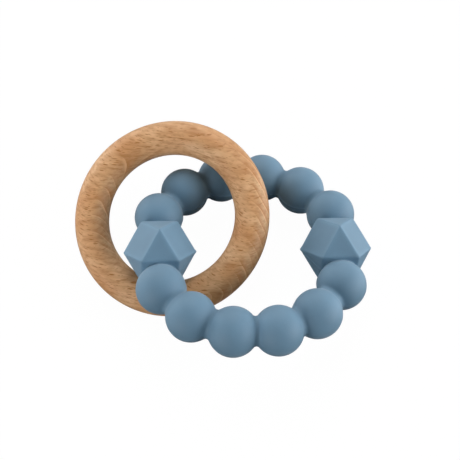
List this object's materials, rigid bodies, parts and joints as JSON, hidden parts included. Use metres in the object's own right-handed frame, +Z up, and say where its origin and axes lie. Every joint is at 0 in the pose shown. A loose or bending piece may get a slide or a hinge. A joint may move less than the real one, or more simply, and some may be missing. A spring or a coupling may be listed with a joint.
{
  "type": "teething ring",
  "caption": "Baby teething ring: a loop of moulded silicone beads, round and faceted, threaded through a round-barred turned beech ring that leans on it.",
  "frame": {"origin": "bottom centre of the bounding box, on the table it lies on", "axes": "+Z up from the table, +X along the longest side from the wooden ring towards the bead strand, +Y away from the front"},
  "size_m": [0.1042, 0.0902, 0.0319],
  "materials": {
    "silicone": "matt",
    "beech": "bare, sanded smooth",
    "pin_plastic": "satin",
    "bond_silicone": "matt"
  },
  "bodies": {
    "strand": {"bead_strand": "silicone", "closure_pin": "pin_plastic", "closure_bond": "bond_silicone"},
    "ring": {"wooden_ring": "beech"}
  },
  "joints": [
    {"name": "ring_swing", "type": "hinge", "parent": "strand", "child": "ring", "pos_m": [-0.01569, -0.01584, 0.0071], "axis": [0.9803, -0.0514, 0.1908], "range_deg": [0, 95]}
  ]
}
